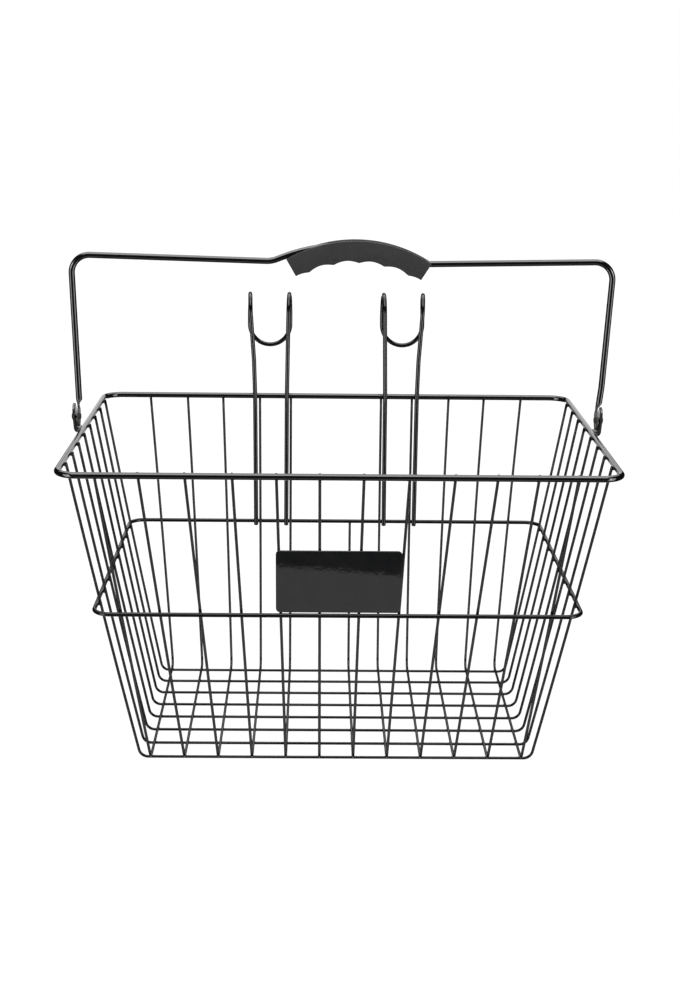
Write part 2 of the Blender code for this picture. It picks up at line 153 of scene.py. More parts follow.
# Finger grip
GRIP_MIDDLE = (0.0115, RIM_Z + 0.0395)
GRIP_OUTER_RADIUS = 0.0975
GRIP_INNER_RADIUS = 0.0825
GRIP_HALF_ANGLE = math.radians(31.2)
GRIP_LEAN = math.radians(1.3)
GRIP_WAVE = math.radians(12.3)
GRIP_WAVE_DEPTH = 0.0017
GRIP_HALF_THICKNESS = 0.0075
GRIP_EDGE = 0.0007
CHANNEL_REACH = 0.08  # the channel follows the wire this far from the grip's middle along X,
CHANNEL_LOW = 0.05    # where it is this far above the hinge,
CHANNEL_SPARE = 0.02  # and its cutter runs on by this much

# Weld nuggets and beads, as half sizes
FLOOR_WELD = (0.0011, 0.0011, 0.0007)
WALL_WELD = (0.0014, 0.0010, 0.0007)
HOOK_WELD = (0.0024, 0.0018, 0.0011)
EAR_BEAD = (0.0030, 0.0011, 0.0008)
EAR_BEAD_PLACES = (-0.0065, -0.0022, 0.0022, 0.0065)
EAR_BEAD_OUT = 0.0020
EAR_BEAD_UP = 0.0013

# How finely the shapes are divided
WIRE_SIDES = 16
HOOK_SIDES = 20
HEAVY_SIDES = 24
BEND_STEPS = 8
DOME_STEPS = 3
WALL_FIRST = 0.1  # share of the height that a wall's first straight takes, clear of the floor bend
WALL_STEPS = 15
RIM_STEPS = 14
RING_STEPS = 12
HANDLE_STEPS = 14
NECK_STEPS = 8
EYE_STEPS = 26
EYE_FIRST = 0.98  # where the eye's first level is, as a share of its radius
GRIP_STEPS = 48
FINGER_STEPS = 96
ARCH_STEPS = 24
RIVET_STEPS = 32
HEAD_STEPS = 8


# ---------------------------------------------------------------- materials

def node(tree, kind, **inputs):
    """A shader node with some of its sockets set, by name with _ for a space."""
    made = tree.nodes.new(kind)
    for name, value in inputs.items():
        made.inputs[name.replace("_", " ")].default_value = value
    return made


def noise(tree, scale, detail=3.0, roughness=0.5):
    """Noise that sticks to the piece, at so many cells to the metre."""
    place = tree.nodes.new("ShaderNodeTexCoord")
    made = node(tree, "ShaderNodeTexNoise", Scale=scale, Detail=detail, Roughness=roughness)
    tree.links.new(place.outputs["Object"], made.inputs["Vector"])
    return made.outputs["Fac"]


def ranged(tree, value, low, high, from_low=0.3, from_high=0.7):
    made = node(tree, "ShaderNodeMapRange")
    made.inputs["From Min"].default_value = from_low
    made.inputs["From Max"].default_value = from_high
    made.inputs["To Min"].default_value = low
    made.inputs["To Max"].default_value = high
    tree.links.new(value, made.inputs["Value"])
    return made.outputs["Result"]


def between(tree, share, first, second):
    made = tree.nodes.new("ShaderNodeMix")
    made.data_type = "RGBA"
    tree.links.new(share, made.inputs["Factor"])
    made.inputs["A"].default_value = (*first, 1)
    made.inputs["B"].default_value = (*second, 1)
    return made.outputs["Result"]


def bumped(tree, layers):
    """Bumps laid over each other; each layer is a height, a strength and a depth."""
    normal = None
    for height, strength, depth in layers:
        made = node(tree, "ShaderNodeBump", Strength=strength, Distance=depth)
        tree.links.new(height, made.inputs["Height"])
        if normal:
            tree.links.new(normal, made.inputs["Normal"])
        normal = made.outputs["Normal"]
    return normal


def new_material(name):
    material = bpy.data.materials.new(name)
    material.use_nodes = True
    tree = material.node_tree
    return material, tree, tree.nodes["Principled BSDF"]


def coating_material(name, dark, light, gloss, peel, mirror=0.5):
    """Gloss dip coating: nearly black, with orange peel, uneven gloss and faint dust."""
    material, tree, shader = new_material(name)
    blotches = ranged(tree, noise(tree, 140, 4), 0, 1)
    tree.links.new(between(tree, blotches, dark, light), shader.inputs["Base Color"])
    tree.links.new(ranged(tree, noise(tree, 420, 3), *gloss), shader.inputs["Roughness"])
    shader.inputs["IOR"].default_value = 1.52
    shader.inputs["Specular IOR Level"].default_value = mirror
    layers = ((noise(tree, 260, 2), peel, 0.00012), (noise(tree, 2600, 2), 0.10, 0.00002))
    tree.links.new(bumped(tree, layers), shader.inputs["Normal"])
    return material


def plate_material():
    """Gloss enamel on a flat plate: the orange peel breaks up what it mirrors."""
    material, tree, shader = new_material("enamelled_plate")
    blotches = ranged(tree, noise(tree, 90, 4), 0, 1)
    tree.links.new(between(tree, blotches, (0.0030, 0.0032, 0.0034), (0.0046, 0.0046, 0.0048)),
                   shader.inputs["Base Color"])
    tree.links.new(ranged(tree, noise(tree, 700, 3), 0.012, 0.022), shader.inputs["Roughness"])
    shader.inputs["IOR"].default_value = 1.50
    layers = ((noise(tree, 230, 3), 0.036, 0.00012), (noise(tree, 900, 2), 0.012, 0.00003))
    tree.links.new(bumped(tree, layers), shader.inputs["Normal"])
    return material


def grip_material():
    """Matt moulded plastic with a fine spark-eroded grain and slightly paler worn patches."""
    material, tree, shader = new_material("moulded_grip")
    patches = ranged(tree, noise(tree, 75, 5, 0.6), 0, 1)
    tree.links.new(between(tree, patches, (0.0085, 0.0085, 0.0087), (0.0125, 0.0122, 0.0124)),
                   shader.inputs["Base Color"])
    tree.links.new(ranged(tree, noise(tree, 500, 4), 0.52, 0.68), shader.inputs["Roughness"])
    shader.inputs["IOR"].default_value = 1.47
    shader.inputs["Specular IOR Level"].default_value = 0.26
    layers = ((noise(tree, 2200, 4, 0.6), 0.55, 0.00010), (noise(tree, 160, 2), 0.15, 0.0003))
    tree.links.new(bumped(tree, layers), shader.inputs["Normal"])
    return material


def floor_material():
    """White table, lit through from below, so that shadows stay faint and it isn't too bright."""
    material, tree, shader = new_material("white_table")
    clouds = ranged(tree, noise(tree, 3, 2), 0, 1)
    colour = between(tree, clouds, (0.055, 0.055, 0.055), (0.060, 0.060, 0.060))
    tree.links.new(colour, shader.inputs["Base Color"])
    shader.inputs["Roughness"].default_value = 0.9
    shader.inputs["Specular IOR Level"].default_value = 0.0
    shader.inputs["Emission Color"].default_value = (1, 1, 1, 1)
    shader.inputs["Emission Strength"].default_value = 0.93
    return material


WIRE_COAT = coating_material("gloss_black_wire", (0.0014, 0.0014, 0.0015),
                             (0.0030, 0.0030, 0.0031), (0.08, 0.14), 0.10, 0.19)
HEAVY_COAT = coating_material("gloss_black_heavy_wire", (0.0012, 0.0012, 0.0013),
                              (0.0026, 0.0026, 0.0027), (0.06, 0.11), 0.10)
HOOK_COAT = coating_material("gloss_black_hooks", (0.0014, 0.0014, 0.0015),
                             (0.0030, 0.0030, 0.0031), (0.06, 0.11), 0.10, 0.22)
FITTING_COAT = coating_material("gloss_black_fittings", (0.0055, 0.0053, 0.0052),
                                (0.013, 0.0125, 0.012), (0.16, 0.34), 0.30)
FORGED_COAT = coating_material("black_over_forging", (0.0060, 0.0055, 0.0050),
                               (0.020, 0.018, 0.016), (0.34, 0.52), 0.45)
PLATE_ENAMEL = plate_material()
GRIP_PLASTIC = grip_material()


# ---------------------------------------------------------------- making pieces

def add_piece(name, mesh, material, body, replaced=None, smooth_below=40):
    """A finished mesh as a piece that rides on a body and stands for a CAD node."""
    item = bpy.data.objects.new(name, mesh)
    bpy.context.scene.collection.objects.link(item)
    mesh.materials.clear()
    mesh.materials.append(material)
    mesh.shade_smooth()
    mesh.set_sharp_from_angle(angle=math.radians(smooth_below))
    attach(item, body)
    if replaced:
        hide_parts(replaced)
    return item


def mesh_of(work, name):
    """The bmesh as a mesh with outward normals; the bmesh is freed."""
    bmesh.ops.recalc_face_normals(work, faces=work.faces)
    mesh = bpy.data.meshes.new(name)
    work.to_mesh(mesh)
    work.free()
    return mesh


def fillet(before, corner, after, radius, steps):
    """Points of the arc that rounds a corner, tangent to both of its legs."""
    back = (before - corner).normalized()
    on = (after - corner).normalized()
    half = back.angle(on) / 2
    centre = corner + (back + on).normalized() * radius / math.sin(half)
    first = corner + back * radius / math.tan(half) - centre
    last = corner + on * radius / math.tan(half) - centre
    return [centre + first.slerp(last, step / steps) * radius for step in range(steps + 1)]


def rounded(corners, radii, steps, closed=False):
    """The path through the corners, each rounded by its own radius where it has one."""
    count = len(corners)
    path = []
    for index, (corner, radius) in enumerate(zip(corners, radii)):
        if not closed and index in (0, count - 1) or radius == 0:
            path.append(corner)
            continue
        before = corners[index - 1]
        after = corners[(index + 1) % count]
        path.extend(fillet(before, corner, after, radius, steps))
    return path


def tangents(points, closed):
    count = len(points)
    found = []
    for index in range(count):
        before = points[index - 1] if closed or index else points[0]
        after = points[(index + 1) % count] if closed or index < count - 1 else points[-1]
        found.append((after - before).normalized())
    return found


def sections(points, closed):
    """A side and an up vector at each point, turning as little as possible on the way."""
    along = tangents(points, closed)
    side = along[0].orthogonal().normalized()
    frames = []
    for direction in along:
        side = (side - direction * side.dot(direction)).normalized()
        frames.append((side, direction.cross(side)))
    return along, frames


def ring_of(work, centre, side, up, radius, sides):
    ring = []
    for step in range(sides):
        turn = 2 * math.pi * step / sides
        offset = side * math.cos(turn) + up * math.sin(turn)
        ring.append(work.verts.new(centre + offset * radius))
    return ring


def bridge(work, first, second):
    count = len(first)
    for i in range(count):
        j = (i + 1) % count
        work.faces.new((first[i], first[j], second[j], second[i]))


def tube(work, points, radius, sides, closed=False):
    """A round wire along the points, with domed tips, as new geometry in the bmesh."""
    points = [point + SHIFT for point in points]
    along, frames = sections(points, closed)
    rings = []
    for point, (side, up) in zip(points, frames):
        rings.append(ring_of(work, point, side, up, radius, sides))
    for first, second in zip(rings, rings[1:]):
        bridge(work, first, second)
    if closed:
        join_ends(work, rings[-1], rings[0])
        return
    for place, direction, (side, up), ring in (
        (points[0], -along[0], frames[0], rings[0]),
        (points[-1], along[-1], frames[-1], rings[-1]),
    ):
        dome(work, place, direction, side, up, radius, ring)


def join_ends(work, last, first):
    """Close a loop, starting at the vertex of the first ring nearest to the last ring's."""
    count = len(last)
    start = min(range(count), key=lambda i: (first[i].co - last[0].co).length)
    bridge(work, last, [first[(start + i) % count] for i in range(count)])


def dome(work, place, direction, side, up, radius, ring):
    """A shallow domed tip, as a dipped cut end has."""
    height = DOME_HEIGHT * radius
    for step in range(1, DOME_STEPS):
        turn = math.pi / 2 * step / DOME_STEPS
        centre = place + direction * height * math.sin(turn)
        following = ring_of(work, centre, side, up, radius * math.cos(turn), len(ring))
        bridge(work, ring, following)
        ring = following
    tip = work.verts.new(place + direction * height)
    for i in range(len(ring)):
        work.faces.new((ring[i], ring[(i + 1) % len(ring)], tip))


def wire_mesh(name, points, radius, sides=WIRE_SIDES, closed=False):
    work = bmesh.new()
    tube(work, points, radius, sides, closed)
    return mesh_of(work, name)


def nugget(work, place, along, across, sizes):
    """A weld nugget: a small squashed ball with its own two directions."""
    along = along.normalized()
    third = along.cross(across).normalized()
    across = third.cross(along)
    turned = Matrix((along, across, third)).transposed().to_4x4()
    scaled = Matrix.Diagonal((*sizes, 1))
    matrix = Matrix.Translation(place + SHIFT) @ turned @ scaled
    bmesh.ops.create_icosphere(work, subdivisions=2, radius=1, matrix=matrix)


def applied(item):
    """The object's mesh with its modifiers applied; the object is removed."""
    bpy.context.view_layer.update()
    graph = bpy.context.evaluated_depsgraph_get()
    mesh = bpy.data.meshes.new_from_object(item.evaluated_get(graph))
    bpy.data.objects.remove(item)
    return mesh


def loose(name, mesh):
    item = bpy.data.objects.new(name, mesh)
    bpy.context.scene.collection.objects.link(item)
    return item


def with_cuts(mesh, cuts, edge):
    """The mesh after Boolean cuts, with its sharp edges rounded."""
    item = loose("work_piece", mesh)
    helpers = []
    for cutter, operation in cuts:
        helper = loose("work_cutter", cutter)
        helpers.append(helper)
        modifier = item.modifiers.new("cut", "BOOLEAN")
        modifier.operation = operation
        modifier.object = helper
        modifier.solver = "EXACT"
    if edge:
        soften = item.modifiers.new("soften", "BEVEL")
        soften.width = edge
        soften.segments = 3
        soften.limit_method = "ANGLE"
        soften.angle_limit = math.radians(30)
    mesh = applied(item)
    for helper in helpers:
        bpy.data.objects.remove(helper)
    return mesh


def slab(name, outline, thickness, matrix):
    """A flat closed solid: the (x, y) outline, pushed out half the thickness both ways."""
    work = bmesh.new()
    lower = [work.verts.new((x, y, -thickness / 2)) for x, y in outline]
    face = work.faces.new(lower)
    grown = bmesh.ops.extrude_face_region(work, geom=[face])
    moved = [v for v in grown["geom"] if isinstance(v, bmesh.types.BMVert)]
    bmesh.ops.translate(work, verts=moved, vec=(0, 0, thickness))
    work.transform(matrix)
    return mesh_of(work, name)


def on_arc(middle, radius, angle):
    return middle[0] + radius * math.cos(angle), middle[1] + radius * math.sin(angle)


def arc(middle, radius, start, end, steps):
    """(x, y) points along an arc, with the angles in radians from +X."""
    angles = [start + (end - start) * step / steps for step in range(steps + 1)]
    return [on_arc(middle, radius, angle) for angle in angles]


# Turns a slab drawn as (x, z) upright, with its thickness along Y, and one drawn as (y, z) with
# its thickness along X
FACING_Y = Matrix(((1, 0, 0, 0), (0, 0, -1, 0), (0, 1, 0, 0), (0, 0, 0, 1)))
FACING_X = Matrix(((0, 0, 1, 0), (1, 0, 0, 0), (0, 1, 0, 0), (0, 0, 0, 1)))


# ---------------------------------------------------------------- basket

def rounded_rectangle(half_x, half_y, radius, z, steps):
    signs = ((1, 1), (-1, 1), (-1, -1), (1, -1))
    corners = [Vector((sx * half_x, sy * half_y, z)) for sx, sy in signs]
    return rounded(corners, [radius] * 4, steps, closed=True)


def wall_reach(axis, floor_z, z):
    """How far a fill wire's centre line stands from the middle at a height."""
    heights = (floor_z, RING_Z, RIM_Z)
    reaches = (FLOOR_HALF[axis], RING_HALF[axis] - RING_CONTACT, RIM_HALF[axis] - RIM_CONTACT)
    total = 0.0
    for i in range(3):
        j, k = (i + 1) % 3, (i + 2) % 3
        share = (z - heights[j]) * (z - heights[k])
        share /= (heights[i] - heights[j]) * (heights[i] - heights[k])
        total += reaches[i] * share
    return total


def wall_point(axis, side, floor_z, low, high, z):
    """Where the fill wire that spreads from low to high along its wall is at a height."""
    across = side * wall_reach(axis, floor_z, z)
    along = low + (high - low) * (z - floor_z) / (RIM_Z - floor_z)
    return Vector((across, along, z) if axis == 0 else (along, across, z))


def upright(axis, side, floor_z, low, high, top_z):
    """Points up one wall, from the floor corner to the wire's tip."""
    rest = 1 - WALL_FIRST
    shares = [0.0] + [WALL_FIRST + rest * step / WALL_STEPS for step in range(WALL_STEPS + 1)]
    heights = [floor_z + (top_z - floor_z) * share for share in shares]
    return [wall_point(axis, side, floor_z, low, high, z) for z in heights]


def u_path(first_wall, last_wall, first_bend, last_bend):
    corners = list(reversed(first_wall)) + last_wall
    radii = [0.0] * len(corners)
    radii[len(first_wall) - 1] = first_bend
    radii[len(first_wall)] = last_bend
    return rounded(corners, radii, BEND_STEPS)


def cross_places():
    for index in range(CROSS_COUNT):
        place = index - (CROSS_COUNT - 1) / 2
        yield index, place * CROSS_PITCH, place * SIDE_PITCH


def fore_aft_places():
    """Index, floor place, front top, back top and height behind of each fore-and-aft wire."""
    for index in range(FORE_AFT_COUNT):
        place = index - (FORE_AFT_COUNT - 1) / 2
        rank = int(abs(place))
        back_top = math.copysign(BACK_TOPS[rank], place)
        back_z = RING_Z if rank < SHORT_BACK_WIRES else RIM_Z
        yield index, place * FORE_AFT_PITCH, FRONT_TOPS[index], back_top, back_z


def make_cross_wires():
    for index, low, high in cross_places():
        walls = [upright(0, side, CROSS_Z, low, high, RIM_Z + WIRE_TIP) for side in (-1, 1)]
        name = f"cross_wire_{index + 1:02d}"
        mesh = wire_mesh(name, u_path(*walls, SIDE_BEND, SIDE_BEND), FILL_RADIUS)
        add_piece("coated_" + name, mesh, WIRE_COAT, "basket", name)


def make_fore_aft_wires():
    for index, low, front_top, back_top, back_z in fore_aft_places():
        front = upright(1, -1, FORE_AFT_Z, low, front_top, RIM_Z + WIRE_TIP)
        back = upright(1, 1, FORE_AFT_Z, low, back_top, back_z + WIRE_TIP)
        name = f"fore_aft_wire_{index + 1:02d}"
        mesh = wire_mesh(name, u_path(front, back, FRONT_BEND, BACK_BEND), FILL_RADIUS)
        add_piece("coated_" + name, mesh, WIRE_COAT, "basket", name)


def make_rings():
    rim = rounded_rectangle(*RIM_HALF, RIM_CORNER, RIM_Z, RIM_STEPS)
    mesh = wire_mesh("top_rim", rim, RIM_RADIUS, HEAVY_SIDES, closed=True)
    add_piece("coated_top_rim", mesh, HEAVY_COAT, "basket", "top_rim")
    ring = rounded_rectangle(*RING_HALF, RING_CORNER, RING_Z, RING_STEPS)
    mesh = wire_mesh("middle_ring", ring, RING_RADIUS, HEAVY_SIDES, closed=True)
    add_piece("coated_middle_ring", mesh, WIRE_COAT, "basket", "middle_ring")


def hook_side(leg_x, tail_x):
    """Points of one leg: up from its foot, over the arch and down to the loop's start."""
    up = Vector((0, math.sin(WALL_SLOPE), math.cos(WALL_SLOPE)))
    back = Vector((0, math.cos(WALL_SLOPE), -math.sin(WALL_SLOPE)))
    base = Vector((0, HOOK_RIM_Y, RIM_Z))
    points = []
    for station, x in zip(HOOK_LEG_STATIONS, leg_x):
        points.append(base + up * station + Vector((x, 0, 0)))
    centre = base + up * HOOK_RISE + back * HOOK_ARCH_RADIUS
    for step in range(1, ARCH_STEPS + 1):
        turn = math.pi * step / ARCH_STEPS
        x = leg_x[-1] + (tail_x - leg_x[-1]) * step / ARCH_STEPS
        reach = up * math.sin(turn) - back * math.cos(turn)
        points.append(centre + reach * HOOK_ARCH_RADIUS + Vector((x, 0, 0)))
    points.append(points[-1] - up * HOOK_TAIL)
    return points, -up


def hook_points():
    """The whole hook on the +X side, from the inner foot to the outer foot."""
    inner, down = hook_side(HOOK_INNER_X, HOOK_TAIL_X[0])
    outer, _ = hook_side(HOOK_OUTER_X, HOOK_TAIL_X[1])
    middle = (inner[-1] + outer[-1]) / 2
    half = (outer[-1].x - inner[-1].x) / 2
    loop = []
    for step in range(1, ARCH_STEPS):
        turn = math.pi * step / ARCH_STEPS
        sideways = Vector((-math.cos(turn) * half, 0, 0))
        loop.append(middle + sideways + down * math.sin(turn) * half)
    return inner + loop + list(reversed(outer))


def make_hooks():
    right = hook_points()
    left = [Vector((-point.x, point.y, point.z)) for point in right]
    for name, points in (("left_handlebar_hook", left), ("right_handlebar_hook", right)):
        mesh = wire_mesh(name, points, HOOK_RADIUS, HOOK_SIDES)
        add_piece("coated_" + name, mesh, HOOK_COAT, "basket", name)


# ---------------------------------------------------------------- welds

def floor_welds(work):
    """A nugget wherever a floor wire lies on a cross wire."""
    height = (CROSS_Z + FORE_AFT_Z) / 2
    for _, x, _, _, _ in fore_aft_places():
        for _, y, _ in cross_places():
            nugget(work, Vector((x, y, height)), Vector((1, 0, 0)), Vector((0, 1, 0)), FLOOR_WELD)


def wall_welds(work, level, ring_half, ring_radius):
    """Nuggets between the fill wires and one of the two rings round the basket."""
    up = Vector((0, 0, 1))

    def weld(axis, side, floor_z, low, high):
        wire = wall_point(axis, side, floor_z, low, high, level)
        ring = wire.copy()
        ring[axis] = side * ring_half[axis]
        share = FILL_RADIUS / (FILL_RADIUS + ring_radius)
        along = Vector((0, 1, 0) if axis == 0 else (1, 0, 0))
        nugget(work, wire.lerp(ring, share), up, along, WALL_WELD)

    for _, low, high in cross_places():
        weld(0, -1, CROSS_Z, low, high)
        weld(0, 1, CROSS_Z, low, high)
    for _, low, front_top, back_top, back_z in fore_aft_places():
        weld(1, -1, FORE_AFT_Z, low, front_top)
        if back_z >= level:
            weld(1, 1, FORE_AFT_Z, low, back_top)


def hook_welds(work):
    """Each leg of each hook is welded to the rim and, at its foot, to the middle ring."""
    up = Vector((0, math.sin(WALL_SLOPE), math.cos(WALL_SLOPE)))
    for leg_x in (HOOK_INNER_X, HOOK_OUTER_X):
        rim_x, foot_x = leg_x[1], leg_x[0]
        for side in (-1, 1):
            contact = (HOOK_RADIUS + GAP / 2) / math.cos(WALL_SLOPE)
            rim = Vector((side * rim_x, HOOK_RIM_Y + contact, RIM_Z))
            nugget(work, rim, up, Vector((1, 0, 0)), HOOK_WELD)
            drop = (RIM_Z - RING_Z) / math.cos(WALL_SLOPE)
            foot = Vector((side * foot_x, HOOK_RIM_Y, RIM_Z)) - up * drop
            foot.y += contact
            nugget(work, foot, up, Vector((1, 0, 0)), HOOK_WELD)


def make_welds():
    groups = (
        ("floor_weld_nuggets", floor_welds, ()),
        ("ring_weld_nuggets", wall_welds, (RING_Z, RING_HALF, RING_RADIUS)),
        ("rim_weld_nuggets", wall_welds, (RIM_Z, RIM_HALF, RIM_RADIUS)),
        ("hook_weld_nuggets", hook_welds, ()),
    )
    for name, fill, parameters in groups:
        work = bmesh.new()
        fill(work, *parameters)
        add_piece(name, mesh_of(work, name), WIRE_COAT, "basket")


# ---------------------------------------------------------------- name plate

def make_name_plate():
    """A flat, blank plate on the front wires, with rounded edges."""
    low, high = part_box("name_plate")
    half_x, half_y = PLATE_SIZE[0] / 2, PLATE_SIZE[1] / 2
    high_z = PLATE_LOW_Z + PLATE_SIZE[1] * math.cos(WALL_SLOPE)
    slope = math.atan2(wall_reach(1, FORE_AFT_Z, high_z) - wall_reach(1, FORE_AFT_Z, PLATE_LOW_Z),
                       high_z - PLATE_LOW_Z)
    outline = [(p.x, p.y) for p in rounded_rectangle(half_x, half_y, PLATE_CORNER, 0, 8)]
    place = Matrix.Translation((low + high) / 2) @ Matrix.Rotation(math.pi / 2 + slope, 4, "X")
    mesh = slab("name_plate", outline, PLATE_THICKNESS, place)
    mesh = with_cuts(mesh, [], PLATE_EDGE)
    add_piece("enamelled_name_plate", mesh, PLATE_ENAMEL, "basket",
              "name_plate", 10)


# ---------------------------------------------------------------- handle

def handle_path():
    """The handle's centre line above the necks, from the left one to the right one."""
    neck_z = HINGE.z + NECK_END
    corners = [
        Vector((SHOULDER_X[0], 0, neck_z)),
        Vector((HANDLE_TOP_X[0], 0, HANDLE_TOP_Z[0])),
        Vector((ARCH_MIDDLE_X - ARCH_HALF, 0, ARCH_FOOT_Z[0])),
        Vector((ARCH_MIDDLE_X, 0, ARCH_PEAK_Z)),
        Vector((ARCH_MIDDLE_X + ARCH_HALF, 0, ARCH_FOOT_Z[1])),
        Vector((HANDLE_TOP_X[1], 0, HANDLE_TOP_Z[1])),
        Vector((RIGHT_BEND[0], 0, RIGHT_BEND[1])),
        Vector((SHOULDER_X[1], 0, neck_z)),
    ]
    radii = [0, HANDLE_CORNER, ARCH_FOOT_BEND, ARCH_PEAK_BEND, ARCH_FOOT_BEND, HANDLE_CORNER,
             RIGHT_BEND_RADIUS, 0]
    return rounded(corners, radii, HANDLE_STEPS)


def eye_stations():
    """(height from the hinge, half width, half thickness, share of the neck), downwards."""
    stations = []
    for step in range(1, NECK_STEPS + 1):
        share = step / NECK_STEPS
        ease = share * share * (3 - 2 * share)
        height = NECK_END - (NECK_END - NECK_START) * share
        width = HANDLE_RADIUS + (NECK_HALF_WIDTH - HANDLE_RADIUS) * ease
        thick = HANDLE_RADIUS + (EYE_THICKNESS / 2 - HANDLE_RADIUS) * ease
        stations.append((height, width, thick, ease))
    start = math.acos(EYE_FIRST)
    for step in range(EYE_STEPS + 1):
        turn = start + (math.pi - 2 * start) * step / EYE_STEPS
        width = EYE_RADIUS * math.sin(turn)
        height = EYE_RADIUS * math.cos(turn)
        if height > 0:
            width = max(width, NECK_HALF_WIDTH)
        stations.append((height, width, EYE_THICKNESS / 2, 1.0))
    return stations


def squared_ring(work, centre, half_width, half_thick, sides, power):
    """A ring in a level plane: an ellipse at power 2, and nearer a rectangle above that."""
    ring = []
    for step in range(sides):
        turn = 2 * math.pi * step / sides
        c, s = math.cos(turn), math.sin(turn)
        x = math.copysign(abs(c) ** (2 / power), c) * half_thick
        y = math.copysign(abs(s) ** (2 / power), s) * half_width
        ring.append(work.verts.new(centre + Vector((x, y, 0))))
    return ring


def handle_mesh():
    """The bent wire, and at both ends a neck that runs down into a flat round eye."""
    work = bmesh.new()
    points = [point + SHIFT for point in handle_path()]
    along = tangents(points, False)
    across = Vector((0, 1, 0))
    rings = []
    for index, (point, direction) in enumerate(zip(points, along)):
        end = index in (0, len(points) - 1)
        if end:
            direction = Vector((0, 0, 1 if index == 0 else -1))
        side = across.cross(direction).normalized()
        if index > len(points) // 2 and end:
            side = Vector((-1, 0, 0))
        rings.append(ring_of(work, point, side, across, HANDLE_RADIUS, HEAVY_SIDES))
    for first, second in zip(rings, rings[1:]):
        bridge(work, first, second)
    for index, side in ((0, 1), (-1, -1)):
        forge_end(work, rings[index], points[index].x, side)
    return mesh_of(work, "handle_wire")


def forge_end(work, ring, x, side):
    """The neck and the flat eye below a ring; side is 1 at the left end and -1 at the right."""
    pivot_x = SHIFT.x - side * PIVOT_X
    for height, width, thick, share in eye_stations():
        flatness = 1 - (thick - EYE_THICKNESS / 2) / (HANDLE_RADIUS - EYE_THICKNESS / 2)
        centre = Vector((x + (pivot_x - x) * share, SHIFT.y, HINGE.z + height))
        level = squared_ring(work, centre, width, thick * side, HEAVY_SIDES, 2 + 4 * flatness)
        bridge(work, ring, level)
        ring = level
    work.faces.new(ring)


def round_cutter(name, side):
    """A cylinder through one pivot, to drill its hole."""
    work = bmesh.new()
    place = HINGE + Vector((side * PIVOT_X, 0, 0))
    turned = Matrix.Translation(place) @ Matrix.Rotation(math.pi / 2, 4, "Y")
    bmesh.ops.create_cone(work, cap_ends=True, segments=RIVET_STEPS, radius1=HOLE_RADIUS,
                          radius2=HOLE_RADIUS, depth=CUTTER_LENGTH, matrix=turned)
    return mesh_of(work, name)


def make_handle():
    cuts = [(round_cutter(name, side), "DIFFERENCE")
            for name, side in (("left_hole", -1), ("right_hole", 1))]
    mesh = with_cuts(handle_mesh(), cuts, 0)
    item = add_piece("coated_handle_wire", mesh, HEAVY_COAT, "handle",
                     "handle_wire", 45)
    item.data.materials.append(FORGED_COAT)
    for face in item.data.polygons:
        if (item.matrix_world @ face.center).z < HINGE.z + NECK_END:
            face.material_index = 1


def grip_outline():
    """The grip's (x, z) outline: outer arc, then back along the waved finger edge."""
    top = math.pi / 2 - GRIP_LEAN
    half = GRIP_HALF_ANGLE
    outer = arc(GRIP_MIDDLE, GRIP_OUTER_RADIUS, top - half, top + half, GRIP_STEPS)
    inner = []
    for step in range(FINGER_STEPS + 1):
        turn = half * (1 - 2 * step / FINGER_STEPS)
        wave = abs(math.sin(math.pi * turn / GRIP_WAVE))
        radius = GRIP_INNER_RADIUS + GRIP_WAVE_DEPTH * wave
        inner.append(on_arc(GRIP_MIDDLE, radius, top + turn))
    return outer + inner


def make_grip():
    """The moulded grip, open along its top where the handle wire is pressed in."""
    place = Matrix.Translation(SHIFT) @ FACING_Y
    clearance = HANDLE_RADIUS + GAP
    path = [p for p in handle_path()
            if abs(p.x - GRIP_MIDDLE[0]) < CHANNEL_REACH and p.z > HINGE.z + CHANNEL_LOW]
    floor = [(p.x, p.z - clearance) for p in path]
    first, last = path[0].x - CHANNEL_SPARE, path[-1].x + CHANNEL_SPARE
    ends_z = min(ARCH_FOOT_Z) - clearance
    high = ends_z + GRIP_OUTER_RADIUS
    channel = [(first, ends_z)] + floor + [(last, ends_z), (last, high), (first, high)]
    cutter = slab("grip_channel", channel, 2 * clearance, place)
    body = slab("handle_grip", grip_outline(), 2 * GRIP_HALF_THICKNESS, place)
    mesh = with_cuts(body, [(cutter, "DIFFERENCE")], GRIP_EDGE)
    add_piece("moulded_handle_grip", mesh, GRIP_PLASTIC, "handle",
              "handle_grip", 35)


# ---------------------------------------------------------------- ears and rivets

def ear_profile():
    """The ear's (x, z) section at +X: a short foot on the rim and a sheet that leans out."""
    inner = [Vector((x, 0, RIM_Z + z)) for x, z in EAR_INNER]
    outer = [Vector((x, 0, RIM_Z + z)) for x, z in EAR_OUTER]
    inner = rounded(inner, [0, 0.0012, 0.02, 0], 5)
    outer = rounded(outer, [0, 0.0010, 0.0015, 0.02, 0], 5)
    return [(p.x, p.z) for p in inner] + [(p.x, p.z) for p in reversed(outer)]


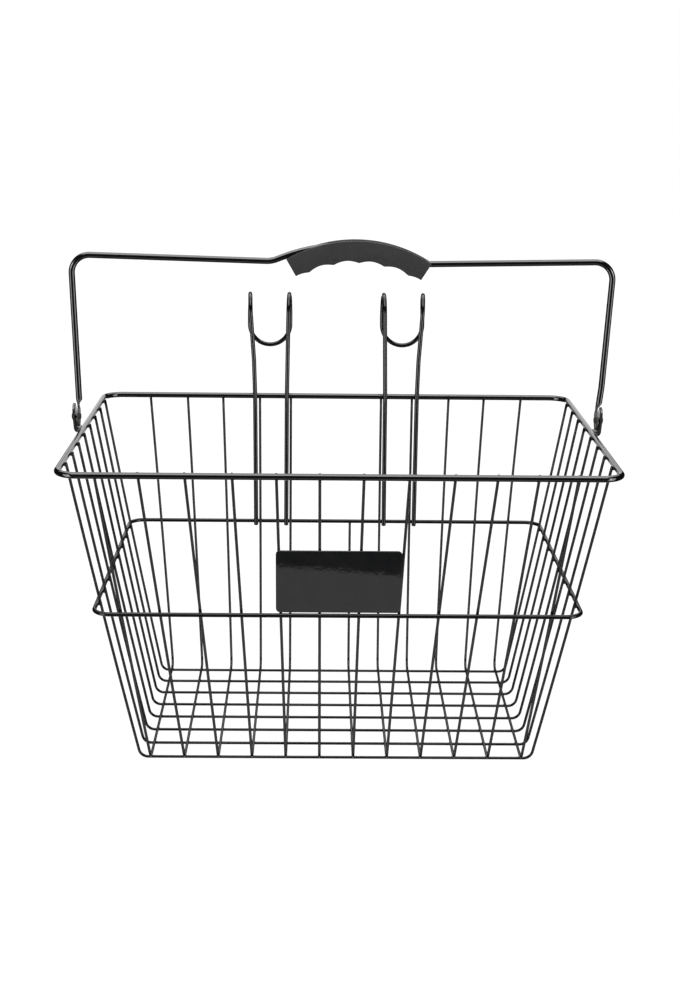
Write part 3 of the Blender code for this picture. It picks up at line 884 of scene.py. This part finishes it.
def make_ear(name, side):
    mirror = Matrix.Diagonal((side, 1, 1, 1))
    place = Matrix.Translation(SHIFT) @ mirror @ FACING_Y
    strip = slab(name, ear_profile(), 2 * (EAR_FOOT_HALF + EAR_SPARE), place)
    low = RIM_Z - EAR_SPARE
    top = RIM_Z + EAR_TOP - EAR_TOP_HALF
    face = arc((0, top), EAR_TOP_HALF, 0, math.pi, 24)
    face += [(-EAR_FOOT_HALF, low), (EAR_FOOT_HALF, low)]
    place = Matrix.Translation(SHIFT + Vector((side * PIVOT_X, 0, 0))) @ FACING_X
    shape = slab(name + "_face", face, CUTTER_LENGTH, place)
    cuts = [(shape, "INTERSECT"), (round_cutter(name + "_hole", side), "DIFFERENCE")]
    mesh = with_cuts(strip, cuts, EAR_EDGE)
    add_piece("coated_" + name, mesh, FITTING_COAT, "basket", name, 40)


def rivet_profile():
    """(radius, x) down the rivet, from the middle of its outer head to that of its inner one."""
    inner = PIVOT_X - EYE_THICKNESS / 2 - GAP
    spaced = PIVOT_X + EYE_THICKNESS / 2 + GAP
    big, big_high = RIVET_OUTER
    small, small_high = RIVET_INNER
    collar, collar_x = COLLAR
    turns = [math.pi / 2 * step / HEAD_STEPS for step in range(HEAD_STEPS + 1)]
    head = [(big * math.sin(t), OUTER_HEAD_X + big_high * math.cos(t))
            for t in turns]
    shank = [(RIVET_RADIUS, OUTER_HEAD_X), (RIVET_RADIUS, collar_x), (collar, collar_x),
             (collar, spaced), (RIVET_RADIUS, spaced), (RIVET_RADIUS, inner)]
    tail = [(small * math.cos(t), inner - small_high * math.sin(t))
            for t in turns]
    return head + shank + tail


def make_rivet(name, side):
    """The rivet with its domed heads, and the collar that keeps the ear off the eye."""
    work = bmesh.new()
    rings = []
    for radius, x in rivet_profile():
        centre = HINGE + Vector((side * x, 0, 0))
        if radius < 1e-6:
            rings.append([work.verts.new(centre)])
            continue
        rings.append(ring_of(work, centre, Vector((0, 1, 0)), Vector((0, 0, 1)), radius,
                             RIVET_STEPS))
    for first, second in zip(rings, rings[1:]):
        if len(first) == 1 or len(second) == 1:
            tip, ring = (first[0], second) if len(first) == 1 else (second[0], first)
            for i in range(RIVET_STEPS):
                work.faces.new((ring[i], ring[(i + 1) % RIVET_STEPS], tip))
        else:
            bridge(work, first, second)
    mesh = mesh_of(work, name)
    add_piece("coated_" + name, mesh, FITTING_COAT, "basket", name, 40)


def make_pivots():
    """Ears, rivets, and the weld bead along the foot of each ear."""
    work = bmesh.new()
    for name, side in (("left", -1), ("right", 1)):
        make_ear(f"{name}_handle_ear", side)
        make_rivet(f"{name}_pivot_rivet", side)
        for offset in EAR_BEAD_PLACES:
            place = Vector((side * (RIM_HALF[0] + EAR_BEAD_OUT), offset, RIM_Z + EAR_BEAD_UP))
            nugget(work, place, Vector((0, 1, 0)), Vector((0, 0, 1)), EAR_BEAD)
    add_piece("ear_weld_beads", mesh_of(work, "ear_weld_beads"), FITTING_COAT, "basket")


# ---------------------------------------------------------------- studio

FLOOR_HALF_SIZE = 4
FLOOR_DROP = 0.0002


def make_floor():
    work = bmesh.new()
    bmesh.ops.create_grid(work, x_segments=2, y_segments=2, size=FLOOR_HALF_SIZE)
    bmesh.ops.translate(work, verts=work.verts, vec=(0, 0, -FLOOR_DROP))
    mesh = mesh_of(work, "studio_floor")
    mesh.materials.append(floor_material())
    floor = loose("studio_floor", mesh)
    floor.visible_glossy = False
    floor.visible_shadow = False


def aim(item, place, target):
    item.location = place
    item.rotation_mode = "QUATERNION"
    item.rotation_quaternion = (target - place).to_track_quat("-Z", "Y")


def area_light(name, place, target, width, height, power):
    data = bpy.data.lights.new(name, "AREA")
    data.shape = "RECTANGLE"
    data.size = width
    data.size_y = height
    data.energy = power
    item = bpy.data.objects.new(name, data)
    bpy.context.scene.collection.objects.link(item)
    aim(item, place, target)
    item.visible_camera = False
    item.visible_glossy = False


def make_lights():
    middle = Vector((0, 0, 0.16))
    area_light("overhead_softbox", Vector((0, -0.3, 1.9)), middle, 1.6, 1.6, 12)
    area_light("front_softbox", Vector((-0.9, -1.6, 1.3)), middle, 1.0, 1.0, 8)


def smooth_step(tree, value, low, high):
    """0 below low, 1 above high, in degrees, and a soft ramp between them."""
    made = tree.nodes.new("ShaderNodeMapRange")
    made.interpolation_type = "SMOOTHSTEP"
    made.inputs["From Min"].default_value = low
    made.inputs["From Max"].default_value = high
    tree.links.new(value, made.inputs["Value"])
    return made.outputs["Result"]


def maths(tree, operation, first, second=None):
    made = tree.nodes.new("ShaderNodeMath")
    made.operation = operation
    for socket, value in zip(made.inputs, (first, second)):
        if isinstance(value, (int, float)):
            socket.default_value = value
        elif value is not None:
            tree.links.new(value, socket)
    return made.outputs["Value"]


def panel(tree, across, up, sides, heights, edge, strength, up_edge=None):
    """A soft-edged bright patch of sky between two places across and two places up."""
    up_edge = up_edge or edge
    masks = [
        smooth_step(tree, across, sides[0] - edge, sides[0] + edge),
        smooth_step(tree, across, sides[1] + edge, sides[1] - edge),
        smooth_step(tree, up, heights[0] - up_edge, heights[0] + up_edge),
        smooth_step(tree, up, heights[1] + up_edge, heights[1] - up_edge),
    ]
    total = masks[0]
    for mask in masks[1:]:
        total = maths(tree, "MULTIPLY", total, mask)
    return maths(tree, "MULTIPLY", total, strength)


# The white cards and softboxes round the table, as patches of sky: azimuths in degrees from -Y
# towards +X in front and from +Y towards +X behind, elevations, softness of the edge, brightness
FRONT_PANELS = (
    ((-70, -37), (-50, 18), 3, 5.4),
    ((37, 70), (-50, 18), 3, 5.2),
)
BACK_PANELS = (
    ((-15, 15), (-50, 22), 4, 1.4),
)
# The card below the table that the name plate mirrors, and the rise of its top edge in degrees
# of elevation per degree of azimuth
PLATE_PANEL = ((-30, 30), (-75, -35.43), 0.06, 0.72)
PLATE_PANEL_SLANT = 0.053
# The long softbox overhead: reach to both sides as the X of the direction, angles round the X
# axis up from +Y, softness along X, brightness, softness of the angles
OVERHEAD = (
    ((-0.55, 0.55), (42, 98), 0.08, 4.4, 4),
    ((-0.45, 0.45), (98, 127), 0.06, 8, 4),
)
CORNER_SPOTS = (
    ((-50, -40), (1, 13), 2, 18),
    ((40, 50), (1, 13), 2, 18),
)
BASE = 0.012


def make_world():
    world = bpy.data.worlds.new("studio")
    bpy.context.scene.world = world
    world.use_nodes = True
    tree = world.node_tree
    tree.nodes.clear()
    place = tree.nodes.new("ShaderNodeTexCoord")
    parts = tree.nodes.new("ShaderNodeSeparateXYZ")
    tree.links.new(place.outputs["Generated"], parts.inputs["Vector"])
    x, y, z = (parts.outputs[axis] for axis in "XYZ")
    elevation = maths(tree, "DEGREES", maths(tree, "ARCSINE", z))
    front = maths(tree, "DEGREES", maths(tree, "ARCTAN2", x, maths(tree, "MULTIPLY", y, -1)))
    back = maths(tree, "DEGREES", maths(tree, "ARCTAN2", x, y))
    pitch = maths(tree, "DEGREES", maths(tree, "ARCTAN2", z, y))
    slanted = maths(tree, "ADD", elevation, maths(tree, "MULTIPLY", front, PLATE_PANEL_SLANT))
    total = maths(tree, "ADD", panel(tree, front, slanted, *PLATE_PANEL), BASE)
    for parameters in OVERHEAD:
        total = maths(tree, "ADD", total, panel(tree, x, pitch, *parameters))
    for parameters in FRONT_PANELS + CORNER_SPOTS:
        total = maths(tree, "ADD", total, panel(tree, front, elevation, *parameters))
    for parameters in BACK_PANELS:
        total = maths(tree, "ADD", total, panel(tree, back, elevation, *parameters))
    seen = tree.nodes.new("ShaderNodeLightPath")
    shade = tree.nodes.new("ShaderNodeMix")
    shade.data_type = "FLOAT"
    tree.links.new(seen.outputs["Is Camera Ray"], shade.inputs["Factor"])
    tree.links.new(total, shade.inputs["A"])
    shade.inputs["B"].default_value = 1.0
    background = tree.nodes.new("ShaderNodeBackground")
    background.inputs["Color"].default_value = (1, 1, 1, 1)
    tree.links.new(shade.outputs["Result"], background.inputs["Strength"])
    output = tree.nodes.new("ShaderNodeOutputWorld")
    tree.links.new(background.outputs["Background"], output.inputs["Surface"])


CAMERA_PLACE = Vector((-0.0159, -1.1509, 0.4735))
CAMERA_PITCH = math.radians(15.0)
CAMERA_YAW = math.radians(0.895)
CAMERA_ROLL = math.radians(-0.64)
CAMERA_LENS = 59.14


def make_camera():
    data = bpy.data.cameras.new("camera")
    data.lens = CAMERA_LENS
    data.sensor_width = 36
    data.clip_start = 0.01
    item = bpy.data.objects.new("camera", data)
    bpy.context.scene.collection.objects.link(item)
    level = math.cos(CAMERA_PITCH)
    ahead = Vector((math.sin(CAMERA_YAW) * level, math.cos(CAMERA_YAW) * level,
                    -math.sin(CAMERA_PITCH)))
    right = Vector((math.cos(CAMERA_YAW), -math.sin(CAMERA_YAW), 0))
    down = ahead.cross(right)
    across = right * math.cos(CAMERA_ROLL) + down * math.sin(CAMERA_ROLL)
    below = down * math.cos(CAMERA_ROLL) - right * math.sin(CAMERA_ROLL)
    turned = Matrix((across, -below, -ahead)).transposed().to_4x4()
    item.matrix_world = Matrix.Translation(CAMERA_PLACE + SHIFT) @ turned
    bpy.context.scene.camera = item


make_camera()
make_rings()
make_cross_wires()
make_fore_aft_wires()
make_hooks()
make_welds()
make_name_plate()
make_handle()
make_grip()
make_pivots()
make_floor()
make_lights()
make_world()
bpy.context.scene.view_settings.view_transform = "Standard"
